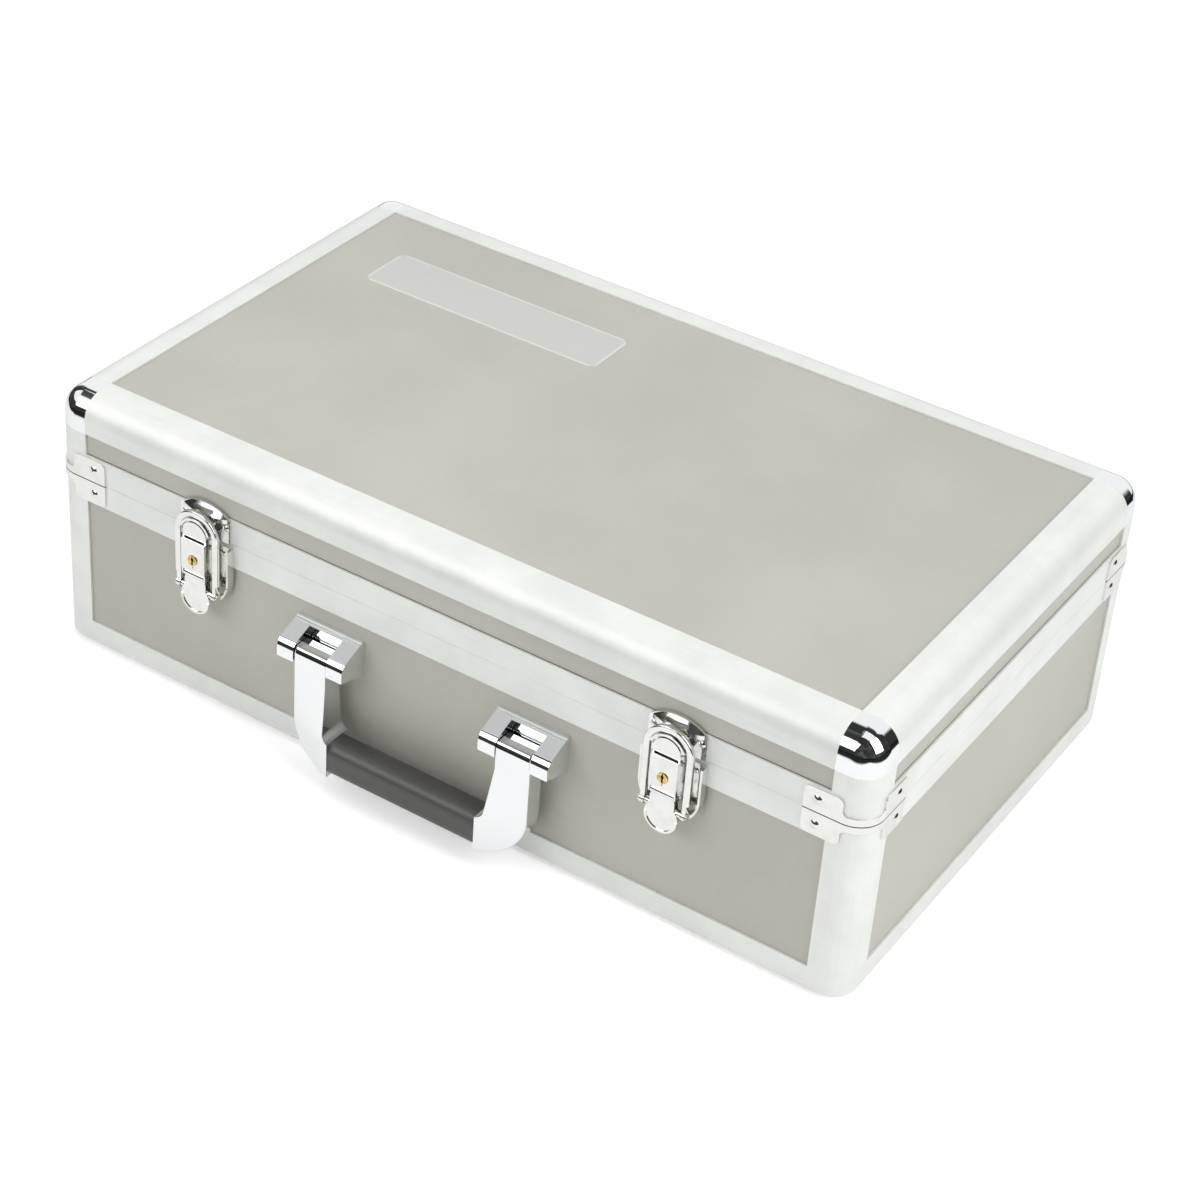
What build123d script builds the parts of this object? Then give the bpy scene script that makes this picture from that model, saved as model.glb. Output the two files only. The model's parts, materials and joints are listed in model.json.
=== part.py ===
from build123d import *
import math
import os

os.makedirs("parts", exist_ok=True)

# ---- driving dimensions, mm. +Z up, +X right along the front, the front faces -Y ----
case_width = 500.0          # over the aluminium shell
case_depth = 295.0
body_height = 108.2         # shell underside to the parting line
lid_height = 49.3           # parting line to the top of the lid
foot_height = 3.0
parting_gap = 0.15          # between the closed rims

# aluminium extrusions and the panels they hold
skin = 1.2                  # outer wall of every extrusion
web = 1.2                   # inner walls and webs
panel_thickness = 4.0
slot_clear = 0.1            # each side of a panel in its slot
slot_depth = 6.0
end_clear = 0.3             # panel edge to the bottom of its slot
edge_leg = 21.5             # face width of the round edge and post profile
edge_radius = 14.0
base_leg = 13.7             # face width of the profile round the underside
base_radius = 1.5
body_rim = 14.5             # rim heights
lid_rim = 14.7
tongue_width = 2.2
tongue_height = 1.8
groove_depth = 2.6
spigot_clear = 0.15
spigot_length = 9.0

# corner clamps at the parting line
clamp_thickness = 1.0
clamp_reach = 35.0          # from the outer corner along each face
clamp_tab = 21.0            # width of the riveted tab
clamp_band = 4.2            # height of the strip that goes round the corner
clamp_height = 13.6
clamp_round = 3.0
clamp_rivet_radius = 2.6
clamp_rivet_head = 1.0
clamp_rivet_height = 7.4    # from the parting line

# feet
foot_radius = 9.0
foot_inset = 42.0
back_foot_height = 10.5     # stands clear of the hinges
back_foot_radius = 8.0
back_foot_inset = 48.0
back_foot_rise = 2.3        # lower ones over the bottom edge
back_foot_drop = 2.7        # upper ones under the rim
foot_screw_radius = 2.0
foot_round = 1.4

# foam
foam_clear = 0.3
floor_foam = 12.0
liner_foam = 6.0
lid_foam = 16.0

# draw latches
latch_inset = 104.6         # latch centre from the end of the case
latch_base_width = 35.2
lever_drop = 21.2           # lever pivot below the parting line; the latch hangs on this pivot
tray_below = 18.8           # tray's lowest point under the pivot
tray_margin = 2.6           # tray's top under the parting line
latch_sheet = 1.2
latch_flange = 5.0
cover_width = 15.6
cover_above = 2.9           # heights over the lever pivot
step_above = 22.2
step_slot = 0.9             # gap over the raised plate, under the dome
dome_above = 25.0
bail_above = 24.8
plug_above = 10.2
cover_reach = 12.0          # how far it stands off the shell
dome_reach = 10.5
cover_sheet = 1.0
lever_pivot_reach = 9.2
lever_barrel_radius = 2.4
lever_side_clear = 0.15
lever_pin_radius = 1.2
run_clear = 0.05            # radial, pins in their bores
tip_below = 24.1            # tip of the tab under the pivot
tab_clear = 0.9             # under the cheeks
tab_waist = 14.0
tab_width = 18.8
tab_thickness = 1.4
tab_reach = 10.4
tab_rim = 1.2               # rolled rim round the tab's end
tab_rim_rise = 0.5
bail_arm = 10.0             # lever pivot down to bail pivot
over_centre = 1.0           # bail pivot sits this far behind the lever pivot
bail_width = 28.4
bail_strip = 3.8
bail_thickness = 2.8
bail_foot = 2.6             # width of the bail's feet, narrower than its legs
bail_foot_above = 6.6       # the feet start this far over the bail's pivot
bail_eye_radius = 2.5
bail_pin_radius = 1.25
bail_head_radius = 1.9
bail_head = 0.6
bail_side_clear = 0.12
hook_clear = 0.4            # under the bail's arch
hook_sheet = 1.0
hook_lip = 0.3
hook_reach = 10.6
catch_width = 33.0
catch_rise = 16.4           # over the centre of the bail's arch
shoulder_rise = 10.5
catch_rivet_x = 13.6
catch_rivet_rise = 5.6
hood_reach = 4.8            # how far the catch's hood swells out
hood_half = 14.5
hood_rise = 8.6             # its underside over the centre of the bail's arch
hood_height = 2.5           # upright part, under the roof
hood_brow = 0.4             # how far the roof still stands out at the top of the arch
catch_slot_width = 13.0
catch_slot_height = 2.2
catch_slot_drop = 3.1       # its middle under the top of the hood
plug_radius = 3.0
plug_stand = 0.5            # proud of the cover
index_drop = 4.4            # dimple in the cover under the plug's centre
index_radius = 0.55
index_depth = 0.6
plug_flange_radius = 3.9
plug_flange = 0.8
plug_flange_gap = 0.1
cam_length = 4.6
cam_width = 3.0
cam_thickness = 1.2
keyway_width = 0.9
keyway_length = 3.4
tray_rivet_x = 11.6
tray_rivet_drop = 4.4       # upper tray rivets under the tray's top
tray_rivet_low = 5.2        # lower one over the tray's lowest point
rivet_radius = 1.9          # rivets of the latches and hinges
rivet_head = 0.8

# carrying handle
mount_spacing = 127.0
mount_width = 41.8
mount_reach = 11.5          # its edges above and below the pivot
mount_crest = 1.2           # depth of its flat top edge
mount_plate = 4.4           # back wall between the ears
ear_radius = 6.8
ear_clear = 1.0             # below the ears, where the arms start to widen
ear_cap = 1.6               # closed outer end of each pin bore
ear_drop = 4.9              # the nose runs straight down this far under the pivot
ear_sweep = 1.0             # how much lower the ear's underside is below the pivot than at its front
handle_pivot_reach = 11.5
handle_pivot_height = 73.0
knuckle_flat = 4.1          # pivot to the knuckle's flat top
drum_radius = 6.3
knuckle_round = 4.0
knuckle_width = 20.4
knuckle_side_gap = 0.4
handle_pin_radius = 2.0
arm_front = 17.9            # reach of the shank's front and back
arm_back = 6.5
arm_crook = 50.8            # inner corner above the grip
crook_rise = 1.1
crook_round = 4.5
elbow_round = 26.5
arm_edge = 1.2
handle_low = 9.0            # underside of the handle
grip_half = 46.8
grip_back = 6.2
grip_front = 24.4
grip_top = 30.4
grip_round = 7.0
grip_waist = 1.0
core_width = 9.0
core_height = 8.0
core_insert = 6.0

# hinges at the back
hinge_inset = 100.0         # hinge centre from the end of the case
hinge_width = 50.0
leaf_thickness = 1.5
leaf_height = 13.4
knuckle_radius = 3.1
hinge_pin_radius = 1.5
hinge_reach = 4.4           # pin axis behind the shell
knuckle_count = 5
knuckle_gap = 0.2
leaf_rivet_pitch = 17.0
leaf_rivet_height = 8.8     # from the pin axis

# ---- derived places ----
slot_width = panel_thickness + 2 * slot_clear
wall = skin + slot_width + web              # outer face to inner face of an extrusion
base_z = foot_height
parting_z = base_z + body_height
lid_z = parting_z + parting_gap
top_z = base_z + body_height + lid_height
half_x = case_width / 2
half_y = case_depth / 2
arm_outer = (mount_spacing + knuckle_width) / 2
arm_inner = (mount_spacing - knuckle_width) / 2
front_y = -half_y
mount_low = handle_pivot_height - mount_reach
mount_top = handle_pivot_height + mount_reach
latch_x = half_x - latch_inset
hinge_x = half_x - hinge_inset
shell_shift = (grip_front - back_foot_height + skin + slot_clear) / 2     # centres the whole case on Y
lever_pivot_height = body_height - lever_drop
bail_level = lever_pivot_height - bail_arm
bail_reach = lever_pivot_reach - over_centre
bail_centre = lever_pivot_height + bail_above
cover_low = lever_pivot_height + cover_above
cover_step = lever_pivot_height + step_above
dome_centre = lever_pivot_height + dome_above
plug_height = lever_pivot_height + plug_above
latch_base_low = lever_pivot_height - tray_below
catch_top = bail_centre + catch_rise
latch_base_top = body_height - tray_margin
sides = {
    "front": (Vector(0, 1, 0), case_width, half_y),
    "rear": (Vector(0, -1, 0), case_width, half_y),
    "left": (Vector(1, 0, 0), case_depth, half_x),
    "right": (Vector(-1, 0, 0), case_depth, half_x),
}
up = Vector(0, 0, 1)
low = (Align.MIN, Align.MIN)
mid_low = (Align.CENTER, Align.MIN)


def save(name, *shapes):
    """Writes one node, from one solid or a group of separate ones."""
    placed = [Pos(0, shell_shift, 0) * s for s in shapes]
    export_step(placed[0] if len(placed) == 1 else Compound(children=placed), f"parts/{name}.step")


def four_corners(shape):
    """The same piece at all four corners, from the one at the front right."""
    pair = [shape, mirror(shape, about=Plane.YZ)]
    return pair + [mirror(s, about=Plane.XZ) for s in pair]


def front_plane(x, reach, z):
    """A plane seen from the front: local x right, local y up, its normal out of the case."""
    return Plane((x, front_y - reach, z), x_dir=(1, 0, 0), z_dir=(0, -1, 0))


def side_plane(x):
    """Sections across X at the front: local x out of the case, local y up, normal to -X."""
    return Plane((x, front_y, base_z), x_dir=(0, -1, 0), z_dir=(-1, 0, 0))


def box(x, y, z):
    """A box from its low and high limits on each axis."""
    size = [b - a for a, b in (x, y, z)]
    return Pos(x[0], y[0], z[0]) * Box(*size, align=(Align.MIN,) * 3)


# ---- extruded profiles ----
def square(size):
    return Rectangle(size, size, align=low)


def rounded_square(size, radius):
    shape = square(size)
    return fillet(shape.vertices().sort_by_distance((0, 0, 0))[0], radius)


def chamber_section(leg, radius, clear=0.0):
    """The closed hollow behind the rounded skin; corner castings plug into it."""
    span = leg - slot_depth - web - skin - 2 * clear
    outer = Pos(skin + clear, skin + clear) * rounded_square(span, max(radius - skin - clear, 0.3))
    return outer - Pos(skin + slot_width - clear, skin + slot_width - clear) * square(span)


def edge_section(leg, radius):
    """Two faces meeting in a rounded edge, with a slot for the panel on each face."""
    slot = Rectangle(slot_depth, slot_width, align=low)
    section = rounded_square(leg, radius) - Pos(wall, wall) * square(leg)
    section -= Pos(leg - slot_depth, skin) * slot
    section -= Pos(skin, leg - slot_depth) * Rectangle(slot_width, slot_depth, align=low)
    return section - chamber_section(leg, radius)


def rim_section(height, joint):
    """Local x goes inwards and y away from the parting line; joint is what faces the other rim."""
    inner = Pos(skin, 0) * Rectangle(slot_width, height, align=low)
    floor = Pos(skin, height - slot_depth - web) * Rectangle(slot_width, web, align=low)
    return Rectangle(wall, height, align=low) - inner + floor + joint


def groove_floor():
    return Pos(skin, groove_depth) * Rectangle(slot_width, web, align=low)


def tongue():
    middle = skin + slot_width / 2
    rib = Pos(middle, -tongue_height) * Rectangle(tongue_width, tongue_height + web, align=mid_low)
    rib = fillet(rib.vertices().sort_by(Axis.Y)[:2], tongue_width * 0.3)
    return rib + Pos(skin, 0) * Rectangle(slot_width, web, align=low)


def run(section, side, height, upward, ends):
    """Extrudes a section along one side of the case, short of each end by ends."""
    inward, span, reach = sides[side]
    rise = up if upward else -up
    along = inward.cross(rise)
    length = span - 2 * ends
    start = -inward * reach - along * (length / 2) + up * height
    return Plane(start, x_dir=inward, z_dir=along) * extrude(section, length)


def post(z_low, z_high):
    """The rounded upright at the front right corner."""
    place = Plane((half_x, front_y, z_low), x_dir=(0, 1, 0), z_dir=(0, 0, 1))
    return place * extrude(edge_section(edge_leg, edge_radius), z_high - z_low)


def save_extrusions():
    edge = edge_section(edge_leg, edge_radius)
    base = edge_section(base_leg, base_radius)
    for side in sides:
        save(f"bottom_edge_{side}", run(base, side, base_z, True, edge_leg))
        save(f"body_rim_{side}", run(rim_section(body_rim, groove_floor()), side, parting_z, False, edge_leg))
        save(f"lid_rim_{side}", run(rim_section(lid_rim, tongue()), side, lid_z, True, edge_leg))
        save(f"lid_edge_{side}", run(edge, side, top_z, False, edge_leg))
    save("body_posts", *four_corners(post(base_z + base_leg, parting_z)))
    save("lid_posts", *four_corners(post(lid_z, top_z - edge_leg)))


# ---- corner castings ----
def corner_block(height, radius):
    """The outer corner at the front right, before its inside is cleared."""
    block = box((half_x - edge_leg, half_x), (front_y, front_y + edge_leg), (0, height))
    upright = block.edges().filter_by(Axis.Z).sort_by_distance((half_x, front_y, height / 2))[0]
    return fillet(upright, radius)


def post_spigot(clear):
    section = chamber_section(edge_leg, edge_radius, clear)
    return Plane((half_x, front_y, 0), x_dir=(0, 1, 0), z_dir=(0, 0, 1)) * extrude(section, spigot_length)


def ball_corner():
    """Three rounded edges meeting in an eighth of a ball, plugged into all three profiles."""
    cube = Box(edge_leg, edge_leg, edge_leg, align=(Align.MIN,) * 3)
    outer = cube.edges().filter_by(lambda e: (e @ 0.5).length < edge_leg * 0.6)
    body = fillet(outer, edge_radius) - Pos(wall, wall, wall) * cube
    section = chamber_section(edge_leg, edge_radius, spigot_clear)
    for normal, across in (((1, 0, 0), (0, 1, 0)), ((0, 1, 0), (0, 0, 1)), ((0, 0, 1), (1, 0, 0))):
        start = Vector(*normal) * edge_leg
        body += Plane(start, x_dir=across, z_dir=normal) * extrude(section, spigot_length)
    return Plane((half_x, front_y, top_z), x_dir=(-1, 0, 0), z_dir=(0, 0, -1)) * body


def base_corner():
    """The flat-bottomed corner under each post."""
    block = corner_block(base_leg, edge_radius)
    foot = block.faces().sort_by(Axis.Z)[0].edges()
    rim = [e for e in foot if e.center().X > half_x - 1.5 * edge_radius
           and e.center().Y < front_y + 1.5 * edge_radius]
    outer = [e for e in rim if abs(e.center().X - (half_x - edge_leg)) > 1
             and abs(e.center().Y - (front_y + edge_leg)) > 1]
    block = fillet(outer, base_radius)
    clear = box((half_x - edge_leg - 1, half_x - wall), (front_y + wall, front_y + edge_leg + 1),
                (wall, base_leg + 1))
    return Pos(0, 0, base_z) * (block - clear + Pos(0, 0, base_leg) * post_spigot(spigot_clear))


# ---- panels ----
def notched(width, height, notch, *ends):
    """A panel outline whose corners are cut away where a corner casting stands: ends 1 are the top, -1 the bottom."""
    shape = Rectangle(width, height)
    for sign in ends:
        for side in (-1, 1):
            shape -= Pos(side * width / 2, sign * height / 2) * Rectangle(2 * notch, 2 * notch)
    return shape


def wall_panel(side, z_low, z_high, end):
    """An upright panel; end says which of its ends meets the corner castings."""
    inward, span, reach = sides[side]
    width = span - 2 * (edge_leg - slot_depth + end_clear)
    outline = notched(width, z_high - z_low, slot_depth, end)
    start = -inward * (reach - skin - slot_clear) + up * ((z_low + z_high) / 2)
    return Plane(start, x_dir=up.cross(inward), z_dir=inward) * extrude(outline, panel_thickness)


def flat_panel(leg, z_low):
    """A level panel held by edge profiles with that face width."""
    depth = leg - slot_depth + end_clear
    notch = edge_leg - depth + end_clear
    outline = notched(case_width - 2 * depth, case_depth - 2 * depth, notch, -1, 1)
    return Pos(0, 0, z_low) * extrude(outline, panel_thickness)


def save_panels():
    body_low = base_z + base_leg - slot_depth + end_clear
    body_high = parting_z - body_rim + slot_depth - end_clear
    strip_low = lid_z + lid_rim - slot_depth + end_clear
    strip_high = top_z - edge_leg + slot_depth - end_clear
    for side in sides:
        save(f"{side}_panel", wall_panel(side, body_low, body_high, -1))
    save("lid_side_strips", *[wall_panel(s, strip_low, strip_high, 1) for s in sides])
    save("lid_top_panel", flat_panel(edge_leg, top_z - skin - slot_clear - panel_thickness))
    save("bottom_panel", flat_panel(base_leg, base_z + skin + slot_clear))


# ---- corner clamps, feet and their fasteners ----
def wrap_section():
    """Plan of a strip round the front right corner, on the outside of the shell."""
    size = clamp_reach + clamp_thickness
    outer = rounded_square(size, edge_radius + clamp_thickness)
    inner = Pos(clamp_thickness, clamp_thickness) * rounded_square(size, edge_radius)
    return outer - inner


def clamp():
    """Two riveted tabs joined by a low strip round the corner; rises from z = 0."""
    place = Plane((half_x + clamp_thickness, front_y - clamp_thickness, 0), x_dir=(0, 1, 0), z_dir=(0, 0, 1))
    shape = place * extrude(wrap_section(), clamp_height)
    inner = clamp_reach - clamp_tab
    window = box((half_x - inner, half_x + clamp_reach), (front_y - clamp_reach, front_y + inner),
                 (clamp_band, 2 * clamp_height))
    near = (half_x - inner, front_y + inner, clamp_band)
    window = fillet(window.edges().group_by(Axis.Z)[0].sort_by_distance(near)[:2], clamp_round)
    shape -= window
    tops = [e for e in shape.edges().group_by(Axis.Z)[-1] if e.length < 1.5 * clamp_thickness]
    return fillet(tops, clamp_round)


def domed_head(radius, rise):
    """A rivet's head: the top of a ball, standing on z = 0."""
    ball = (radius ** 2 + rise ** 2) / (2 * rise)
    stand = Cylinder(radius + rise, rise, align=(Align.CENTER, Align.CENTER, Align.MIN))
    return Pos(0, 0, rise - ball) * Sphere(ball) & stand


def clamp_rivets():
    """One on each tab of a clamp."""
    from_corner = clamp_reach - clamp_tab / 2 + 3
    head = domed_head(clamp_rivet_radius, clamp_rivet_head)
    z = clamp_rivet_height
    front = Plane((half_x - from_corner, front_y - clamp_thickness, z), x_dir=(1, 0, 0), z_dir=(0, -1, 0))
    right = Plane((half_x + clamp_thickness, front_y + from_corner, z), x_dir=(0, 1, 0), z_dir=(1, 0, 0))
    return [front * head, right * head]


def save_clamps():
    upper = Pos(0, 0, lid_z) * clamp()
    lower = Pos(0, 0, parting_z) * mirror(clamp(), about=Plane.XY)
    save("lid_corner_clamps", *four_corners(upper))
    save("body_corner_clamps", *four_corners(lower))
    heads = [h for r in clamp_rivets() for h in four_corners(r)]
    save("lid_clamp_rivets", *[Pos(0, 0, lid_z) * h for h in heads])
    save("body_clamp_rivets", *[Pos(0, 0, parting_z) * mirror(h, about=Plane.XY) for h in heads])


def foot(radius, height):
    """A turned rubber foot with a recess for its screw; stands on z = 0, its face at height."""
    body = Cylinder(radius, height, align=(Align.CENTER, Align.CENTER, Align.MIN))
    body = fillet(body.edges().sort_by(Axis.Z)[-1], foot_round)
    recess = Cylinder(foot_screw_radius * 1.6, height, align=(Align.CENTER, Align.CENTER, Align.MIN))
    return body - Pos(0, 0, height * 0.5) * recess


def save_feet():
    under = base_z + skin + slot_clear
    low_foot = Pos(half_x - foot_inset, front_y + foot_inset, under) * Rot(180, 0, 0) * foot(foot_radius, under)
    save("bottom_feet", *four_corners(low_foot))
    seat = half_y - skin - slot_clear
    stand = Rot(-90, 0, 0) * foot(back_foot_radius, back_foot_height)
    lower = base_z + base_leg + back_foot_rise + back_foot_radius
    upper = parting_z - body_rim - back_foot_drop - back_foot_radius
    save("rear_feet", *[Pos(x * (half_x - back_foot_inset), seat, z) * stand
                        for x in (-1, 1) for z in (lower, upper)])


# ---- foam ----
def save_foam():
    inner_x = half_x - wall - foam_clear
    inner_y = half_y - wall - foam_clear
    floor_z = base_z + wall + foam_clear
    save("floor_foam", box((-inner_x, inner_x), (-inner_y, inner_y), (floor_z, floor_z + floor_foam)))
    z = (floor_z + floor_foam + foam_clear, parting_z - groove_depth)
    long_x = inner_x - liner_foam - foam_clear
    fronts = [box((-long_x, long_x), sorted((s * inner_y, s * (inner_y - liner_foam))), z) for s in (-1, 1)]
    ends = [box(sorted((s * inner_x, s * (inner_x - liner_foam))), (-inner_y, inner_y), z) for s in (-1, 1)]
    save("wall_foam", *fronts, *ends)
    lid_top = top_z - wall - foam_clear
    save("lid_foam", box((-inner_x, inner_x), (-inner_y, inner_y), (lid_top - lid_foam, lid_top)))


# ---- draw latches, each about x = 0 and then moved to its place ----
def latch_base():
    """A flanged tray with a round lower end, riveted to the body rim and front panel."""
    radius = latch_base_width / 2
    middle = latch_base_low + radius
    outline = Pos(0, middle) * Circle(radius)
    outline += Pos(0, middle) * Rectangle(latch_base_width, latch_base_top - middle, align=mid_low)
    face = front_plane(0, 0, base_z)
    hollow = offset(outline, -latch_sheet) + Pos(0, latch_base_top - radius) * Rectangle(
        latch_base_width - 2 * latch_sheet, 2 * radius, align=mid_low)
    return face * extrude(outline, latch_flange) - front_plane(0, latch_sheet, base_z) * extrude(hollow, latch_flange)


def cover_outline(margin, z_low):
    """Front view of the lock cover: a plate with a half-round top."""
    width = cover_width - 2 * margin
    outline = Pos(0, dome_centre) * Circle(width / 2)
    return outline + Pos(0, z_low) * Rectangle(width, dome_centre - z_low, align=mid_low)


def lock_cover():
    """Stamped box over the lock: a raised plate, a lower dome above it and two pivot cheeks."""
    back = front_plane(0, latch_sheet, base_z)
    shape = back * extrude(cover_outline(0, cover_low), dome_reach - latch_sheet)
    plate = Pos(0, cover_low) * Rectangle(cover_width, cover_step - cover_low, align=mid_low)
    shape += back * extrude(plate, cover_reach - latch_sheet)
    inside = back * extrude(cover_outline(cover_sheet, cover_low - 1), dome_reach - latch_sheet - cover_sheet)
    well = Pos(0, cover_low - 1) * Rectangle(
        cover_width - 2 * cover_sheet, cover_step - cover_low + 1 - cover_sheet, align=mid_low)
    shape -= inside + back * extrude(well, cover_reach - latch_sheet - cover_sheet)
    front = front_plane(0, 0, base_z)
    shape -= front * (Pos(0, plug_height) * extrude(Circle(plug_radius + run_clear), cover_reach))
    slot = Pos(0, cover_step) * Rectangle(cover_width - 2 * cover_sheet, step_slot, align=mid_low)
    shape -= front_plane(0, latch_sheet, base_z) * extrude(slot, cover_reach)
    dimple = Pos(0, plug_height - index_drop) * extrude(Circle(index_radius), index_depth)
    shape -= front_plane(0, cover_reach - index_depth, base_z) * dimple
    cheek = side_plane(0) * extrude(cheek_outline(), cover_sheet)
    for x in (cover_width / 2, -cover_width / 2 + cover_sheet):
        shape += Pos(x, 0, 0) * cheek
    return shape - lever_axis_rod(lever_pin_radius, cover_width + 2)


def cheek_outline():
    """Side view of the ear that carries the lever pin."""
    pivot = Pos(lever_pivot_reach, lever_pivot_height)
    tall = cover_low - lever_pivot_height + cover_sheet
    ear = pivot * Circle(lever_barrel_radius)
    ear += Pos(latch_sheet, lever_pivot_height - lever_barrel_radius) * Rectangle(
        lever_pivot_reach - latch_sheet, lever_barrel_radius + tall, align=low)
    return ear + Pos(lever_pivot_reach, lever_pivot_height) * Rectangle(lever_barrel_radius, tall, align=low)


def lever_axis_rod(radius, length):
    return side_plane(length / 2) * (
        Pos(lever_pivot_reach, lever_pivot_height) * extrude(Circle(radius), length))


def bail_axis_rod(radius, x_from, x_to):
    """A round rod on the bail's pivot axis."""
    place = Pos(bail_reach, bail_level)
    return side_plane(x_to) * (place * extrude(Circle(radius), x_to - x_from))


def tab_outline():
    """Front view of the finger tab: a waist that swells to a round end."""
    centre = lever_pivot_height - tip_below + tab_width / 2
    tip = Pos(0, centre) * Circle(tab_width / 2)
    barrel = cover_width / 2 - cover_sheet - lever_side_clear
    clear_of_cheeks = lever_pivot_height - lever_barrel_radius - tab_clear
    steps = [(barrel, lever_pivot_height), (barrel, clear_of_cheeks), (tab_waist / 2, clear_of_cheeks),
             (tab_waist / 2, bail_level), (tab_width / 2 - 0.4, centre + 2)]
    left = [(-x, y) for x, y in steps]
    return tip + Polygon(*left, *reversed(steps), align=None)


def tab_lip():
    """Rim that stands proud round the lower half of the tab's end."""
    centre = lever_pivot_height - tip_below + tab_width / 2
    ring = Circle(tab_width / 2) - Circle(tab_width / 2 - tab_rim)
    ring -= Rectangle(tab_width, tab_width, align=mid_low)
    return front_plane(0, tab_reach - tab_thickness, base_z) * (
        Pos(0, centre) * extrude(ring, tab_thickness + tab_rim_rise))


def latch_lever():
    """Rolled barrel, finger tab and the two flanges that carry the bail's trunnions."""
    inside = cover_width / 2 - cover_sheet - lever_side_clear
    tab = front_plane(0, tab_reach - tab_thickness, base_z) * extrude(tab_outline(), tab_thickness)
    shape = tab + lever_axis_rod(lever_barrel_radius, 2 * inside) + tab_lip()
    flange = Polygon((lever_pivot_reach - lever_barrel_radius, lever_pivot_height),
                     (bail_reach - bail_eye_radius, bail_level), (bail_reach, bail_level - bail_eye_radius),
                     (tab_reach, bail_level - 2 * bail_eye_radius),
                     (tab_reach - tab_thickness, lever_pivot_height), align=None)
    for x in (inside, -inside + cover_sheet):
        shape += side_plane(x) * extrude(flange, cover_sheet)
    eye_in = bail_width / 2 - bail_strip
    end = eye_in + bail_foot + bail_side_clear
    for x_from, x_to in ((inside - cover_sheet, end), (-end, -inside + cover_sheet)):
        shape += bail_axis_rod(bail_pin_radius, x_from, x_to)
        side = 1 if x_to > 0 else -1
        collar = sorted((side * inside, side * (eye_in - bail_side_clear)))
        shape += bail_axis_rod(bail_head_radius, *collar)
        shape += bail_axis_rod(bail_head_radius, *sorted((side * end, side * (end + bail_head))))
    return shape - lever_axis_rod(lever_pin_radius + run_clear, cover_width)


def latch_bail():
    """A bent strip: two legs with narrower feet round the pivot, joined by a half-round arch."""
    outer = bail_width / 2
    inner = outer - bail_strip
    foot_out = inner + bail_foot
    ring = Pos(0, bail_centre) * (Circle(outer) - Circle(inner))
    upper = ring - Pos(0, bail_centre) * Rectangle(bail_width + 2, outer + 1, align=(Align.CENTER, Align.MAX))
    rise = bail_centre - bail_level
    legs = Rectangle(2 * foot_out, rise, align=mid_low)
    legs += Pos(0, bail_foot_above) * Rectangle(bail_width, rise - bail_foot_above, align=mid_low)
    legs -= Rectangle(2 * inner, rise, align=mid_low)
    legs = fillet([v for v in legs.vertices() if v.Y < bail_foot_above + 1 and abs(v.X) > foot_out + 0.1],
                  (outer - foot_out) * 0.8)
    outline = upper + Pos(0, bail_level) * legs
    shape = front_plane(0, bail_reach - bail_thickness / 2, base_z) * extrude(outline, bail_thickness)
    long_edges = shape.edges().filter_by(lambda e: e.length > 3 * bail_strip)
    shape = fillet(long_edges, bail_thickness * 0.28)
    for x_from, x_to in ((inner, foot_out), (-foot_out, -inner)):
        shape += bail_axis_rod(bail_eye_radius, x_from, x_to)
    return shape - bail_axis_rod(bail_pin_radius + run_clear, -outer - 1, outer + 1)


def catch_outline():
    """Front view of the catch: square shoulders and an arched top."""
    floor = parting_gap + body_height
    shoulder = bail_centre + shoulder_rise
    half, rise = catch_width / 2, catch_top - shoulder
    radius = (half ** 2 + rise ** 2) / (2 * rise)
    arch = Pos(0, catch_top - radius) * Circle(radius)
    arch &= Pos(0, floor) * Rectangle(catch_width, catch_top - floor, align=mid_low)
    return arch


def catch_hood(margin):
    """Swelling at the top of the catch, its roof leaning back to the arch; margin shrinks it for the hollow."""
    swell = hood_reach - latch_sheet
    radius = (hood_half ** 2 + swell ** 2) / (2 * swell)
    low_z = bail_centre + hood_rise
    lean = (swell - hood_brow) / (catch_top - low_z - hood_height)
    plan = Circle(radius - margin)
    upright = Pos(0, 0, margin) * extrude(plan, hood_height - margin)
    roof = Pos(0, 0, hood_height) * extrude(plan, catch_rise, dir=(0, lean, 1))
    body = Pos(0, front_y - hood_reach + radius, base_z + low_z) * (upright + roof)
    outline = offset(catch_outline(), -margin) if margin else catch_outline()
    return body & front_plane(0, 0, base_z) * extrude(outline, hood_reach)


def latch_catch():
    """Plate on the lid rim that swells into a slotted hood, with the curved hook under the bail."""
    shape = front_plane(0, 0, base_z) * extrude(catch_outline(), latch_sheet)
    shape = shape + catch_hood(0) - catch_hood(hook_sheet)
    slot = Pos(0, catch_top - catch_slot_drop) * SlotOverall(catch_slot_width, catch_slot_height)
    shape -= front_plane(0, 0, base_z) * extrude(slot, hood_reach)
    return shape + hook()


def hook():
    """The curved shelf that the bail's arch bears on, with a slight lip."""
    radius = bail_width / 2 - bail_strip - hook_clear
    place = Pos(0, bail_centre)
    keep = Pos(0, bail_centre + radius * 0.3) * Rectangle(4 * radius, 2 * radius, align=mid_low)
    band = place * (Circle(radius) - Circle(radius - hook_sheet)) & keep
    lip = place * (Circle(radius + hook_lip) - Circle(radius - hook_sheet)) & keep
    shape = front_plane(0, 0, base_z) * extrude(band, hook_reach)
    return shape + front_plane(0, hook_reach - 0.7, base_z) * extrude(lip, 0.7)


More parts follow.
